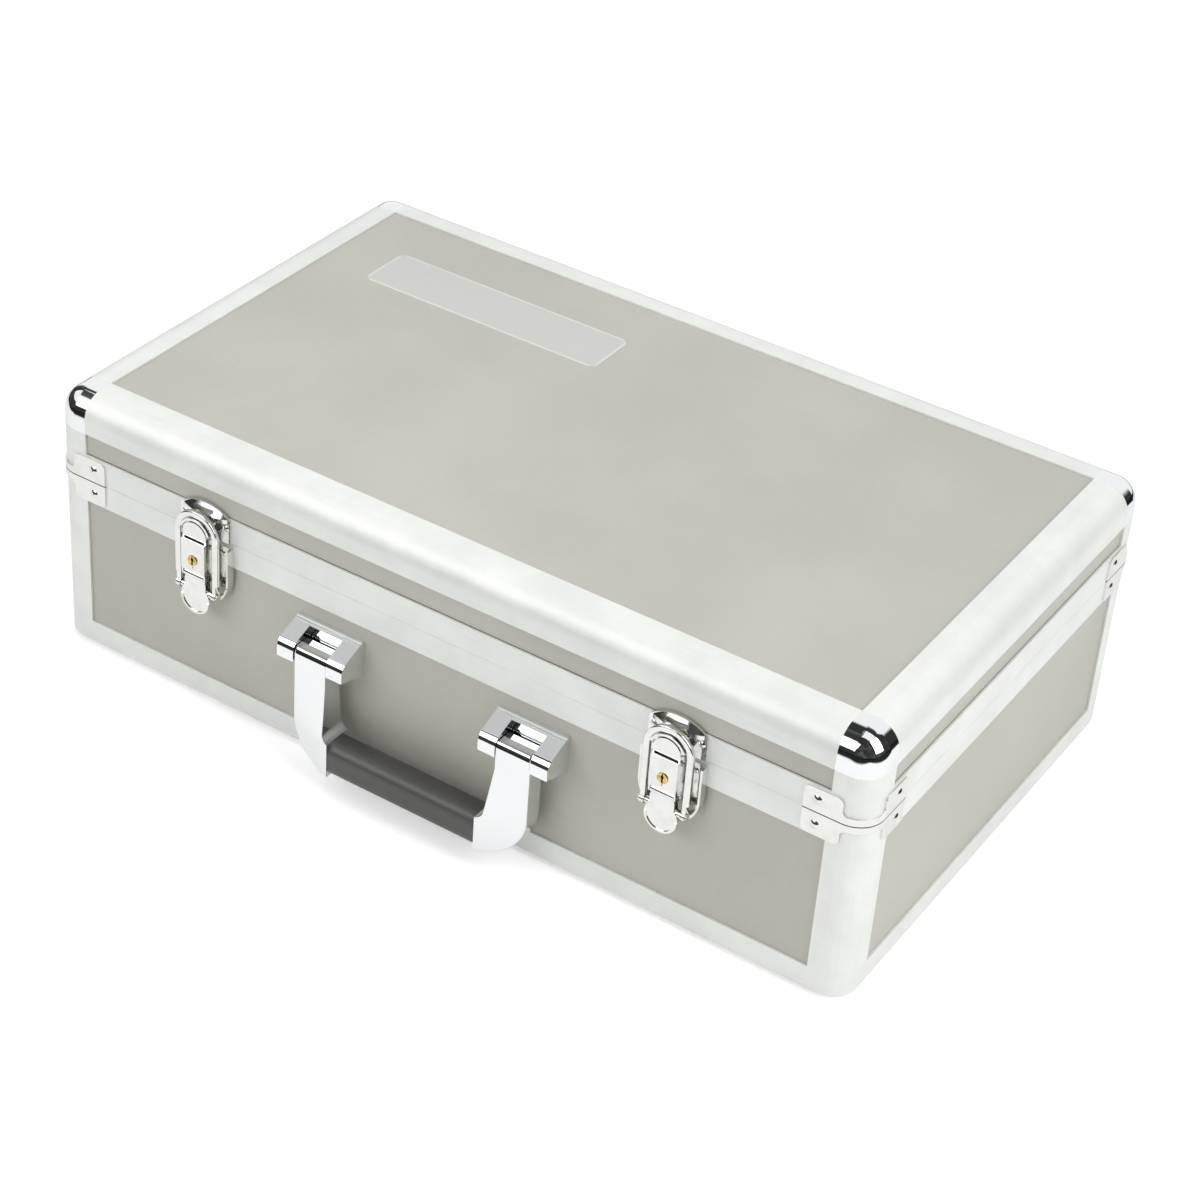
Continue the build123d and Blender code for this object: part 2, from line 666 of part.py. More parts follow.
def lock_plug():
    """Key cylinder in the cover: a barrel with a keyway, a flange behind the plate and a cam."""
    face = cover_reach + plug_stand
    behind = cover_reach - cover_sheet - plug_flange_gap
    at = Pos(0, plug_height)
    shape = front_plane(0, behind - plug_flange, base_z) * (at * extrude(Circle(plug_radius), face - behind + plug_flange))
    shape += front_plane(0, behind - plug_flange, base_z) * (at * extrude(Circle(plug_flange_radius), plug_flange))
    cam = Rectangle(cam_length, cam_width, align=(Align.MIN, Align.CENTER))
    shape += front_plane(0, behind - plug_flange - cam_thickness, base_z) * (at * extrude(cam, cam_thickness))
    keyway = Pos(0, -keyway_length / 4) * Rectangle(keyway_width, keyway_length, align=(Align.CENTER, Align.CENTER))
    keyway += Pos(0, keyway_length / 4) * Circle(keyway_width)
    return shape - front_plane(0, cover_reach - 1.5, base_z) * (at * extrude(keyway, 3))


def leaf_rivets(upward):
    """Three rivets for each hinge leaf, their heads facing back."""
    z = parting_z + parting_gap / 2 + (leaf_rivet_height if upward else -leaf_rivet_height)
    return [Plane((x + step * leaf_rivet_pitch, half_y + leaf_thickness, z), x_dir=(1, 0, 0), z_dir=(0, 1, 0))
            * domed_head(rivet_radius, rivet_head) for x in (-hinge_x, hinge_x) for step in (-1, 0, 1)]


def save_rivets():
    catch_z = bail_centre + catch_rivet_rise
    tray_z = latch_base_top - tray_rivet_drop
    low_z = latch_base_low + tray_rivet_low
    on_catch = [(catch_rivet_x, catch_z), (-catch_rivet_x, catch_z)]
    on_tray = [(tray_rivet_x, tray_z), (-tray_rivet_x, tray_z), (0, low_z)]
    for name, spots, upward in (("lid_rivets", on_catch, True), ("body_rivets", on_tray, False)):
        heads = [front_plane(x + dx, latch_sheet, base_z + z) * domed_head(rivet_radius, rivet_head)
                 for x in (-latch_x, latch_x) for dx, z in spots]
        save(name, *heads, *leaf_rivets(upward))


def save_latches():
    places = {"left": -latch_x, "right": latch_x}
    for side, x in places.items():
        at = Pos(x, 0, 0)
        save(f"latch_base_{side}", at * latch_base())
        save(f"lock_cover_{side}", at * lock_cover())
        save(f"latch_lever_{side}", at * latch_lever())
        save(f"latch_bail_{side}", at * latch_bail())
        save(f"lock_plug_{side}", at * lock_plug())
    pin = lever_axis_rod(lever_pin_radius, cover_width)
    save("latch_lever_pins", *[Pos(x, 0, 0) * pin for x in places.values()])
    save("latch_catches", *[Pos(x, 0, 0) * latch_catch() for x in places.values()])


# ---- carrying handle ----
def crest_touch():
    """Where the mount's bevel, from the crest of its back edge, meets the round nose."""
    away = Vector(mount_crest - handle_pivot_reach, mount_top - handle_pivot_height)
    turn = math.atan2(away.Y, away.X) - math.acos(ear_radius / away.length)
    return (handle_pivot_reach + ear_radius * math.cos(turn), handle_pivot_height + ear_radius * math.sin(turn))


def ear_outline():
    """Side view of a mount: its foot on the front panel, a bevelled top and a nose with a straight front."""
    nose = Pos(handle_pivot_reach, handle_pivot_height) * Circle(ear_radius)
    front = handle_pivot_reach + ear_radius
    chin = handle_pivot_height - ear_drop
    throat = (handle_pivot_reach, chin - ear_sweep)
    return nose + Polygon((0, mount_low), throat, (front, chin), (front, handle_pivot_height),
                          crest_touch(), (mount_crest, mount_top), (0, mount_top), align=None)


def handle_mount(x):
    """A plate with two ears, fixed to the front panel through a shallow pad."""
    pad = skin + slot_clear
    half = mount_width / 2
    shape = side_plane(half) * extrude(ear_outline(), mount_width)
    gap = knuckle_width / 2 + knuckle_side_gap
    shape -= box((-gap, gap), (front_y - 3 * ear_radius, front_y - mount_plate), (0, 2 * handle_pivot_height))
    back = Rectangle(mount_width, mount_top - mount_low, align=mid_low)
    shape += front_plane(0, -pad, base_z) * (Pos(0, mount_low) * extrude(back, pad))
    return Pos(x, 0, 0) * (shape - pivot_rod(handle_pin_radius, mount_width - 2 * ear_cap))


def pivot_rod(radius, length):
    """A rod on the handle's pivot axis."""
    return side_plane(length / 2) * (
        Pos(handle_pivot_reach, handle_pivot_height) * extrude(Circle(radius), length))


def arm_front_view():
    """Right arm from the front: a straight shank, a round elbow and a crook above the grip."""
    crook = (arm_crook, grip_top + crook_rise)
    outline = Polygon((grip_half, handle_low), (arm_outer, handle_low), (arm_outer, mount_top),
                      (arm_inner, mount_top), (arm_inner, mount_low - ear_clear), crook,
                      (grip_half, grip_top), align=None)
    return round_at(round_at(outline, (arm_outer, handle_low), elbow_round), crook, crook_round)


def knuckle():
    """The arm's top end, across X: a drum cut flat on top, its front corner rounded into the shank."""
    top = handle_pivot_height + knuckle_flat
    back_top = handle_pivot_reach - math.sqrt(drum_radius ** 2 - knuckle_flat ** 2)
    low_z = mount_low - ear_clear
    outline = Polygon((back_top, top), (handle_pivot_reach - drum_radius, handle_pivot_height), (arm_back, low_z),
                      (arm_front, low_z), (arm_front, top), align=None)
    drum = Circle(drum_radius) & Pos(0, knuckle_flat) * Rectangle(
        3 * drum_radius, 3 * drum_radius, align=(Align.CENTER, Align.MAX))
    outline = round_at(outline, (arm_front, top), knuckle_round)
    return outline + Pos(handle_pivot_reach, handle_pivot_height) * drum


def arm_plan(height, front_inner):
    """Level section through the arm's space, its front at front_inner beside the grip."""
    place = Plane((0, front_y, base_z + height), x_dir=(1, 0, 0), z_dir=(0, 0, 1))
    edge = arm_outer + 1
    return place * Polygon((grip_half, -front_inner), (arm_outer, -arm_front), (edge, -arm_front),
                           (edge, -arm_back), (grip_half, -arm_back), align=None)


def arm_space():
    """What the side view leaves: flat at the knuckle, twisting out to the grip's front lower down."""
    high, low_z = mount_low - ear_clear, grip_top + crook_rise
    shape = side_plane(arm_outer + 1) * extrude(knuckle(), arm_outer)
    shape += loft([arm_plan(low_z, grip_front), arm_plan(high, arm_front)], ruled=True)
    return shape + extrude(arm_plan(handle_low - 1, grip_front), low_z - handle_low + 1)


def round_at(outline, place, radius):
    return fillet(outline.vertices().sort_by_distance((*place, 0))[0], radius)


def front_outer_edge(edge):
    """True along the arm's outer side where it meets the front; false for edges that run across the arm."""
    ahead = (edge @ 0.5).Y < front_y - (arm_front + arm_back) / 2
    outer = max((edge @ 0).X, (edge @ 1).X) > arm_outer - arm_edge
    return ahead and outer and abs((edge % 0.5).X) < 0.95


def handle_arm():
    """Right arm, where its front and side views meet, bored for the pin and the core."""
    shape = front_plane(0, 0, base_z) * extrude(arm_front_view(), 2 * grip_front)
    shape &= arm_space()
    shape = fillet(shape.edges().filter_by(front_outer_edge), arm_edge)
    rod = Pos(mount_spacing / 2, 0, 0) * pivot_rod(handle_pin_radius + run_clear, 2 * knuckle_width)
    socket = box((grip_half - 1, grip_half + core_insert), core_y(run_clear), core_z(run_clear))
    return shape - rod - socket


def core_y(clear):
    middle = front_y - (grip_front + grip_back) / 2
    return (middle - core_width / 2 - clear, middle + core_width / 2 + clear)


def core_z(clear):
    middle = base_z + (grip_top + handle_low) / 2
    return (middle - core_height / 2 - clear, middle + core_height / 2 + clear)


def handle_grip():
    """Moulded sleeve over the core, flat at the back and rounded to the front, with a slight waist."""
    depth = grip_front - grip_back - 0.6
    tall = grip_top - handle_low - 0.6
    section = RectangleRounded(depth, tall, grip_round)
    middle = ((grip_front + grip_back) / 2, (grip_top + handle_low) / 2)
    shape = side_plane(grip_half) * (Pos(*middle) * extrude(section, 2 * grip_half))
    run_half = grip_half * 0.8
    bow = (run_half ** 2 + grip_waist ** 2) / (2 * grip_waist)
    hollow = front_plane(0, 0, base_z) * (
        Pos(0, handle_low + 0.3 + grip_waist - bow) * extrude(Circle(bow), 2 * grip_front))
    shape -= hollow
    return shape - box((-grip_half - 1, grip_half + 1), core_y(0), core_z(0))


def save_handle():
    arm = handle_arm()
    save("handle_mount_left", handle_mount(-mount_spacing / 2))
    save("handle_mount_right", handle_mount(mount_spacing / 2))
    save("handle_arm_right", arm)
    save("handle_arm_left", mirror(arm, about=Plane.YZ))
    save("handle_grip", handle_grip())
    ends = grip_half + core_insert - 0.3
    save("handle_core", box((-ends, ends), core_y(0), core_z(0)))
    pin = pivot_rod(handle_pin_radius, mount_width - 2 * ear_cap)
    save("handle_pins", *[Pos(x, 0, 0) * pin for x in (-mount_spacing / 2, mount_spacing / 2)])


# ---- hinges at the back ----
def hinge_rod(x_from, x_to, radius):
    place = Plane((x_from, half_y + hinge_reach, parting_z + parting_gap / 2), x_dir=(0, 1, 0), z_dir=(1, 0, 0))
    return place * extrude(Circle(radius), x_to - x_from)


def hinge_leaf(upward):
    """A leaf flat on the rear rim, with its share of the knuckles."""
    sign = 1 if upward else -1
    axis_z = parting_z + parting_gap / 2
    near = axis_z + sign * parting_gap / 2
    leaf = box((-hinge_width / 2, hinge_width / 2), (half_y, half_y + leaf_thickness),
               sorted((near + sign * 0.2, near + sign * leaf_height)))
    corners = leaf.edges().filter_by(Axis.Y).group_by(Axis.Z)[-1 if upward else 0]
    shape = fillet(corners, 3)
    pitch = hinge_width / knuckle_count
    for k in range(knuckle_count):
        if (k % 2 == 1) == upward:
            start = -hinge_width / 2 + k * pitch + knuckle_gap / 2
            stop = start + pitch - knuckle_gap
            shape += hinge_rod(start, stop, knuckle_radius)
            shape += box((start, stop), (half_y, half_y + hinge_reach),
                         sorted((axis_z + sign * (knuckle_radius - leaf_thickness), axis_z + sign * knuckle_radius)))
        else:
            start = -hinge_width / 2 + k * pitch - knuckle_gap / 2
            shape -= hinge_rod(start, start + pitch + knuckle_gap, knuckle_radius + knuckle_gap)
    return shape - hinge_rod(-hinge_width, hinge_width, hinge_pin_radius + (run_clear if upward else 0))


def save_hinges():
    places = (-hinge_x, hinge_x)
    save("lid_hinge_leaves", *[Pos(x, 0, 0) * hinge_leaf(True) for x in places])
    save("body_hinge_leaves", *[Pos(x, 0, 0) * hinge_leaf(False) for x in places])
    pin = hinge_rod(-hinge_width / 2, hinge_width / 2, hinge_pin_radius)
    save("hinge_pins", *[Pos(x, 0, 0) * pin for x in places])


def save_corners():
    save("ball_corners", *four_corners(ball_corner()))
    save("bottom_corners", *four_corners(base_corner()))


save_extrusions()
save_panels()
save_corners()
save_clamps()
save_feet()
save_foam()
save_latches()
save_handle()
save_hinges()
save_rivets()
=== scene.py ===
import json
import math
import bpy
import numpy as np
from mathutils import Matrix, Vector


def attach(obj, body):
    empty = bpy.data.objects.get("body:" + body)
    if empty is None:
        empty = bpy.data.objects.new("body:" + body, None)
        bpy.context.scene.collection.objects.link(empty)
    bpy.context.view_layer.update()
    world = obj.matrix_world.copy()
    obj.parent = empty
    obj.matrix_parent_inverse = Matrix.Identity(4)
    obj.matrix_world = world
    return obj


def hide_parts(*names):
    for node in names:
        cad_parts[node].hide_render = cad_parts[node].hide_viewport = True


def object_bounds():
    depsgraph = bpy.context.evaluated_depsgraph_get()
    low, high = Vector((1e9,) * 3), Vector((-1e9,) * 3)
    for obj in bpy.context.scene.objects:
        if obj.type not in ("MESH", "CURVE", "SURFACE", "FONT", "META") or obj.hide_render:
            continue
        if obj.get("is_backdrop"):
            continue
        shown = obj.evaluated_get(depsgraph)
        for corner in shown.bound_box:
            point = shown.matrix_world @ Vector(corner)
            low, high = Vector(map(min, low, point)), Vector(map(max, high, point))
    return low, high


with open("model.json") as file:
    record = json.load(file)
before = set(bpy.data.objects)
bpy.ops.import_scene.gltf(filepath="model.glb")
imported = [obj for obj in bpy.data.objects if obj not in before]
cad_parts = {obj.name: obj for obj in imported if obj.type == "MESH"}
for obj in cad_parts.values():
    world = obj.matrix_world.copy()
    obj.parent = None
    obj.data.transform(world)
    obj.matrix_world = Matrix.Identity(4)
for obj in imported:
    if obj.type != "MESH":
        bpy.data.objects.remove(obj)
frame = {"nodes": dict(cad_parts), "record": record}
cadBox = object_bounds()
nodes = frame["nodes"]
print("frame loaded:", len(nodes), "nodes")

caseShell = {"top": 0.1605, "parting": 0.1112, "rimGap": 0.00015}  # metres: two heights and a gap
latchX = 0.1454  # each latch stands this far from the middle


# A socket that can be written in expressions: each operator adds its Math node
class Wire:
    def __init__(self, kit, socket):
        self.kit, self.socket = kit, socket

    def math(self, how, *others):
        return self.kit.math(how, self, *others)

    def __add__(self, other):
        return self.math("ADD", other)

    def __sub__(self, other):
        return self.math("SUBTRACT", other)

    def __mul__(self, other):
        return self.math("MULTIPLY", other)

    def __rsub__(self, other):
        return self.kit.math("SUBTRACT", other, self)

    __radd__, __rmul__ = __add__, __mul__

    def abs(self):
        return self.math("ABSOLUTE")

    def low(self, other):
        return self.math("MINIMUM", other)

    def high(self, other):
        return self.math("MAXIMUM", other)

    def ramp(self, start, end):  # 0 below start, 1 above end, smooth between
        return self.kit.add("ShaderNodeMapRange", {"interpolation_type": "SMOOTHSTEP"},
                            {"Value": self, "From Min": start, "From Max": end})

    def edge(self, blur):  # 0 below nought and 1 above it, soft for this much either way
        return self.ramp(-blur, blur)


# One node tree. Every node comes from add: its settings first, then the values or wires of its sockets
class NodeKit:
    def __init__(self, owner):
        owner.use_nodes = True
        self.tree = owner.node_tree
        self.tree.nodes.clear()

    def add(self, kind, settings=None, values=None, out=0):
        node = self.tree.nodes.new(kind)
        for key, value in (settings or {}).items():
            setattr(node, key, value)
        for key, value in (values or {}).items():
            socket = node.inputs[key]
            if isinstance(value, Wire):
                self.tree.links.new(value.socket, socket)
            else:
                socket.default_value = (*value, 1) if socket.type == "RGBA" else value
        return Wire(self, node.outputs[out]) if node.outputs else node

    def math(self, how, *values):
        return self.add("ShaderNodeMath", {"operation": how}, dict(enumerate(values)))

    def place(self, scale):  # Object coordinates, stretched
        raw = self.add("ShaderNodeTexCoord", out="Object")
        return self.add("ShaderNodeMapping", {"vector_type": "POINT"}, {"Vector": raw, "Scale": scale})

    def split(self, vector, name):
        return self.add("ShaderNodeSeparateXYZ", None, {"Vector": vector}, out=name)

    def axis(self, name):
        return self.split(self.add("ShaderNodeTexCoord", out="Object"), name)

    def ray(self, name):
        return self.add("ShaderNodeLightPath", out=name)

    def noise(self, size, detail, rough=0.5, stretch=(1, 1, 1)):
        at = self.place(tuple(s / size for s in stretch))
        return self.add("ShaderNodeTexNoise", {"noise_dimensions": "3D"},
                        {"Vector": at, "Scale": 1.0, "Detail": detail, "Roughness": rough})

    def cells(self, feature, count):
        return self.add("ShaderNodeTexVoronoi", {"feature": feature},
                        {"Vector": self.place((count, count, count)), "Scale": 1.0})

    def mix(self, factor, first, second):  # a colour Mix takes its colours at 6 and 7, and gives them at 2
        return self.add("ShaderNodeMix", {"data_type": "RGBA"}, {0: factor, 6: first, 7: second}, out=2)

    def bump(self, height, strength, depth):
        return self.add("ShaderNodeBump", None, {"Height": height, "Strength": strength, "Distance": depth})

    def surface(self, output, shader, values):
        self.add(output, None, {"Surface": self.add(shader, None, values)})

    def finish(self, **values):
        self.surface("ShaderNodeOutputMaterial", "ShaderNodeBsdfPrincipled",
                     {key.replace("_", " "): value for key, value in values.items()})


def srgb(*levels):  # 0..255 screen levels to linear colour
    c = np.array(levels, float) / 255
    return tuple(np.where(c <= 0.04045, c / 12.92, ((c + 0.055) / 1.055) ** 2.4))


def material(name, build):
    made = bpy.data.materials.new(name)
    build(NodeKit(made))
    return made


# Finishes, in metres. A pattern is its size, detail, roughness and stretch, and a range is where it starts to
# show and where it is full. A share or a Rough is how much of it goes in. A bump is its strength and depth
laminate = {
    "colour": srgb(188, 187, 177), "dark": srgb(182, 181, 171), "roughness": 0.36, "gloss": 0.4,
    "cloud": (0.09, 2.0), "speck": (0.0035, 4.0, 0.7), "speckShare": 0.25, "toneRange": (0.36, 0.64),
    "pore": (0.0011, 3.0, 0.6), "poreRough": 0.08, "bump": (0.12, 0.0002),
    "scuff": (0.02, 6.0, 0.75, (1, 3, 1)), "scuffRange": (0.6, 0.72), "scuffRough": 0.06,
    # the last colour and its band are painted shade in the crevice above the lid's rim
    "gap": srgb(84, 80, 72), "gapAt": 0.12605, "gapHalf": 0.0005, "gapFrom": 0.7, "gapTo": 0.9,
}


def panelLaminate(kit):  # mottled, with painted shade in the crevice along the top of the lid's rim
    cloud, speck, pore = (kit.noise(*laminate[pattern]) for pattern in ("cloud", "speck", "pore"))
    share = laminate["speckShare"]
    tone = (cloud * (1 - share) + speck * share).ramp(*laminate["toneRange"])
    scuff = kit.noise(*laminate["scuff"]).ramp(*laminate["scuffRange"])
    above, half = kit.axis("Z") - laminate["gapAt"], laminate["gapHalf"]
    start, stop = -half * laminate["gapTo"], half * laminate["gapFrom"]
    # painted shade: a dark band just above the lid's rim, where the panel meets the rim
    inPaintedShade = (1 - above.ramp(stop, half)) * above.ramp(-half, start)
    bare = kit.mix(tone, laminate["dark"], laminate["colour"])
    rough = laminate["roughness"] + pore * laminate["poreRough"] + scuff * laminate["scuffRough"]
    kit.finish(Base_Color=kit.mix(inPaintedShade, bare, laminate["gap"]), Roughness=rough,
               Normal=kit.bump(pore, *laminate["bump"]), Specular_IOR_Level=laminate["gloss"])


anodised = {
    "colour": srgb(239, 241, 237), "dull": srgb(230, 232, 229), "roughness": 0.46, "metal": 0.3,
    "lines": (0.0005, 2.0, 0.6), "lineStretch": 0.012, "lineShare": 0.3, "lineRough": 0.12,
    "cloud": (0.035, 3.0, 0.6), "cloudRough": 0.08, "toneRange": (0.35, 0.65),
    "mark": (0.006, 5.0, 0.7), "markRange": (0.62, 0.75), "markRough": 0.05, "bump": (0.05, 0.0002),
}


def drawnAluminium(lengthwise):  # fine die lines along the profile, faint cloudy anodising across it
    def build(kit):
        stretch = [1.0, 1.0, 1.0]
        stretch["XYZ".index(lengthwise)] = anodised["lineStretch"]
        lines, cloud = kit.noise(*anodised["lines"], stretch), kit.noise(*anodised["cloud"])
        mark = kit.noise(*anodised["mark"]).ramp(*anodised["markRange"])
        share = anodised["lineShare"]
        tone = (cloud * (1 - share) + lines * share).ramp(*anodised["toneRange"])
        rough = anodised["roughness"] + (lines - 0.5) * anodised["lineRough"] + cloud * anodised["cloudRough"]
        kit.finish(Base_Color=kit.mix(tone, anodised["dull"], anodised["colour"]), Metallic=anodised["metal"],
                   Roughness=rough + mark * anodised["markRough"], Normal=kit.bump(lines, *anodised["bump"]))
    return build


plating = {
    "colour": srgb(238, 240, 241), "roughness": 0.045, "ripple": (0.011, 2.0), "bump": (0.04, 0.0012),
    "haze": (0.004, 5.0, 0.7), "hazeRange": (0.45, 0.8), "hazeRough": 0.06,
}


def brightPlate(kit):  # chrome with the faint ripple and haze of a plated casting
    haze = kit.noise(*plating["haze"]).ramp(*plating["hazeRange"])
    kit.finish(Base_Color=plating["colour"], Metallic=1.0,
               Roughness=plating["roughness"] + haze * plating["hazeRough"],
               Normal=kit.bump(kit.noise(*plating["ripple"]), *plating["bump"]))


nickel = {
    "colour": srgb(232, 232, 228), "dull": srgb(225, 225, 220), "roughness": 0.12,
    "wave": (0.007, 2.0), "bump": (0.08, 0.0008),
    "scratch": (0.0012, 4.0, 0.7, (1, 0.05, 1)), "scratchRange": (0.55, 0.72), "scratchRough": 0.06,
    "patch": (0.009, 4.0, 0.65), "patchRange": (0.45, 0.7), "patchRough": 0.05,
    # the last colour and its band are painted shade along the parting line of the clamps
    "rolled": srgb(96, 96, 93), "partingShadeHalf": 0.0005, "partingShadeFrom": 0.4,
}


def stampedNickel(kit, rolledAt=None):  # slight waves, fine scratches, duller patches and painted shade along the line where the clamp halves meet
    scratch = kit.noise(*nickel["scratch"]).ramp(*nickel["scratchRange"])
    patch = kit.noise(*nickel["patch"]).ramp(*nickel["patchRange"])
    tone = kit.mix(patch, nickel["colour"], nickel["dull"])
    # painted shade: a dark band at the parting height, where the lid's and body's clamps meet
    if rolledAt:
        away, half = (kit.axis("Z") - rolledAt).abs(), nickel["partingShadeHalf"]
        tone = kit.mix(1 - away.ramp(half * nickel["partingShadeFrom"], half), tone, nickel["rolled"])
    rough = nickel["roughness"] + scratch * nickel["scratchRough"] + patch * nickel["patchRough"]
    kit.finish(Base_Color=tone, Metallic=1.0, Roughness=rough,
               Normal=kit.bump(kit.noise(*nickel["wave"]), *nickel["bump"]))


def clampNickel(kit):  # painted shade on the clamps' bands where the lid meets the body
    stampedNickel(kit, caseShell["parting"] + caseShell["rimGap"] / 2)


brass = {
    "colour": srgb(224, 200, 128), "stain": srgb(170, 142, 80), "roughness": 0.16,
    "grain": (0.0004, 3.0, 0.6), "grainRough": 0.1, "bump": (0.05, 0.0001),
    "spot": (0.002, 3.0), "spotRange": (0.4, 0.7),
    # slot and its band are the painted shade inside each keyway
    "slot": srgb(34, 28, 16), "keywayShadeHalf": 0.0006, "keywayShadeFrom": 0.6, "keywayShadeShare": 0.8,
}


def turnedBrass(kit):  # painted shade inside the keyway, which stands upright in the middle of each plug
    grain = kit.noise(*brass["grain"])
    spot = kit.noise(*brass["spot"]).ramp(*brass["spotRange"])
    # painted shade: a dark upright stripe down the middle of each plug, where the keyway is
    away, half = (kit.axis("X").abs() - latchX).abs(), brass["keywayShadeHalf"]
    inKeywayShade = 1 - away.ramp(half * brass["keywayShadeFrom"], half)
    bare = kit.mix(spot, brass["colour"], brass["stain"])
    kit.finish(Base_Color=kit.mix(inKeywayShade * brass["keywayShadeShare"], bare, brass["slot"]), Metallic=1.0,
               Roughness=brass["roughness"] + grain * brass["grainRough"],
               Normal=kit.bump(grain, *brass["bump"]))


zinc = {
    "pale": srgb(196, 198, 199), "colour": srgb(168, 170, 172), "roughness": 0.3,
    "cloud": (0.003, 4.0, 0.7), "cloudRough": 0.15, "bump": (0.05, 0.0002),
}


def zincSteel(kit):
    cloud = kit.noise(*zinc["cloud"])
    kit.finish(Base_Color=kit.mix(cloud, zinc["pale"], zinc["colour"]), Metallic=1.0,
               Roughness=zinc["roughness"] + cloud * zinc["cloudRough"],
               Normal=kit.bump(cloud, *zinc["bump"]))


vinyl = {
    "colour": srgb(66, 65, 63), "dark": srgb(56, 55, 54), "cloud": (0.02, 2.0), "roughness": 0.36,
    "pebblesPerMetre": 900, "pebbleShare": 0.7, "pore": (0.0006, 3.0, 0.6), "poreRough": 0.1,
    "bump": (0.1, 0.0002), "gloss": 0.8,
}


def gripVinyl(kit):  # soft skin with a fine leather-like pebble
    pebble, pore = kit.cells("SMOOTH_F1", vinyl["pebblesPerMetre"]), kit.noise(*vinyl["pore"])
    skin = pebble * vinyl["pebbleShare"] + pore * (1 - vinyl["pebbleShare"])
    kit.finish(Base_Color=kit.mix(kit.noise(*vinyl["cloud"]), vinyl["dark"], vinyl["colour"]),
               Roughness=vinyl["roughness"] + pore * vinyl["poreRough"], Specular_IOR_Level=vinyl["gloss"],
               Normal=kit.bump(skin, *vinyl["bump"]))


rubber = {
    "colour": srgb(34, 34, 36), "dusty": srgb(58, 57, 56), "roughness": 0.62,
    "pore": (0.0008, 4.0, 0.65), "poreRough": 0.2, "bump": (0.2, 0.0003),
    "dust": (0.006, 4.0, 0.7), "dustRange": (0.5, 0.75),
}


def mouldedRubber(kit):
    pore = kit.noise(*rubber["pore"])
    dust = kit.noise(*rubber["dust"]).ramp(*rubber["dustRange"])
    kit.finish(Base_Color=kit.mix(dust, rubber["colour"], rubber["dusty"]),
               Roughness=rubber["roughness"] + pore * rubber["poreRough"],
               Normal=kit.bump(pore, *rubber["bump"]))


openCell = {
    "dark": srgb(46, 46, 49), "light": srgb(88, 88, 92), "roughness": 0.95, "gloss": 0.15,
    "pitsPerMetre": 700, "pitShare": 0.5, "bump": (0.6, 0.0008),
    "fine": (0.0009, 5.0, 0.7), "cloud": (0.04, 2.0), "cloudShare": 0.4,
}


def openFoam(kit):  # cut cells: two sizes of pits, and clouds of dust
    pits = kit.cells("F1", openCell["pitsPerMetre"])
    fine, cloud = kit.noise(*openCell["fine"]), kit.noise(*openCell["cloud"])
    tone = cloud * openCell["cloudShare"] + fine * (1 - openCell["cloudShare"])
    relief = pits * openCell["pitShare"] + fine * (1 - openCell["pitShare"])
    kit.finish(Base_Color=kit.mix(tone, openCell["dark"], openCell["light"]),
               Roughness=openCell["roughness"], Specular_IOR_Level=openCell["gloss"],
               Normal=kit.bump(relief, *openCell["bump"]))


finishes = {
    "panel": material("panelLaminate", panelLaminate),
    "aluX": material("aluminiumAlongX", drawnAluminium("X")),
    "aluY": material("aluminiumAlongY", drawnAluminium("Y")),
    "aluZ": material("aluminiumUpright", drawnAluminium("Z")),
    "chrome": material("brightChrome", brightPlate),
    "nickel": material("stampedNickel", stampedNickel),
    "clamp": material("clampNickel", clampNickel),
    "brass": material("turnedBrass", turnedBrass),
    "steel": material("zincSteel", zincSteel),
    "grip": material("gripVinyl", gripVinyl),
    "rubber": material("mouldedRubber", mouldedRubber),
    "foam": material("openCellFoam", openFoam),
}


def finishOf(name):  # the node's slot, but clamps have their own, and profiles the lines of their direction
    if name.endswith("corner_clamps"):
        return "clamp"
    slot = next(p["material_slot"] for p in frame["record"]["subparts"] if p["node"] == name)
    if slot != "aluminium":
        return slot
    if name.endswith(("front", "rear")):
        return "aluX"
    return "aluY" if name.endswith(("left", "right")) else "aluZ"


for name, obj in nodes.items():
    finish = finishes[finishOf(name)]
    if not obj.material_slots:
        obj.data.materials.append(finish)
    for slot in obj.material_slots:
        slot.material = finish
print("finishes on CAD nodes")


def linked(obj):
    bpy.context.scene.collection.objects.link(obj)
    return obj


# Each grid is rows by columns of points: quads join each point to its neighbours in both directions,
# and the last column joins the first
def gridMesh(name, grids, finish):
    spots, quads, start = [], [], 0
    for points in grids:
        rows, cols, _ = points.shape
        i, j = np.meshgrid(np.arange(rows - 1), np.arange(cols), indexing="ij")
        i, j = i.ravel(), j.ravel()
        a, b = i * cols + j, i * cols + (j + 1) % cols
        quads.append(start + np.stack([a, b, b + cols, a + cols], 1))
        spots.append(points.reshape(-1, 3))
        start += rows * cols
    mesh = bpy.data.meshes.new(name)
    mesh.from_pydata(np.concatenate(spots).tolist(), [], np.concatenate(quads).tolist())
    mesh.validate()
    mesh.shade_smooth()
    mesh.materials.append(finish)
    return linked(bpy.data.objects.new(name, mesh))


label = {  # a bare satin sticker with rounded corners, on the lid's panel
    "centre": (-0.1175, 0.0786), "size": (0.157, 0.037), "radius": 0.0055, "cornerPoints": 9,
    "thick": 0.00018, "panelDrop": 0.0013, "lift": 0.00002, "sideShare": 0.7, "bevel": 0.00008, "rim": 0.0012,
    "face": srgb(206, 206, 202), "edge": srgb(226, 226, 223), "border": 0.0013, "borderBlur": 0.0002,
    "streakTone": srgb(176, 176, 173), "streak": (0.0007, 3.0, 0.6, (0.02, 1, 1)), "streakShare": 0.25,
    "metal": 0.25, "roughness": 0.34, "streakRough": 0.1, "bump": (0.03, 0.0001),
}


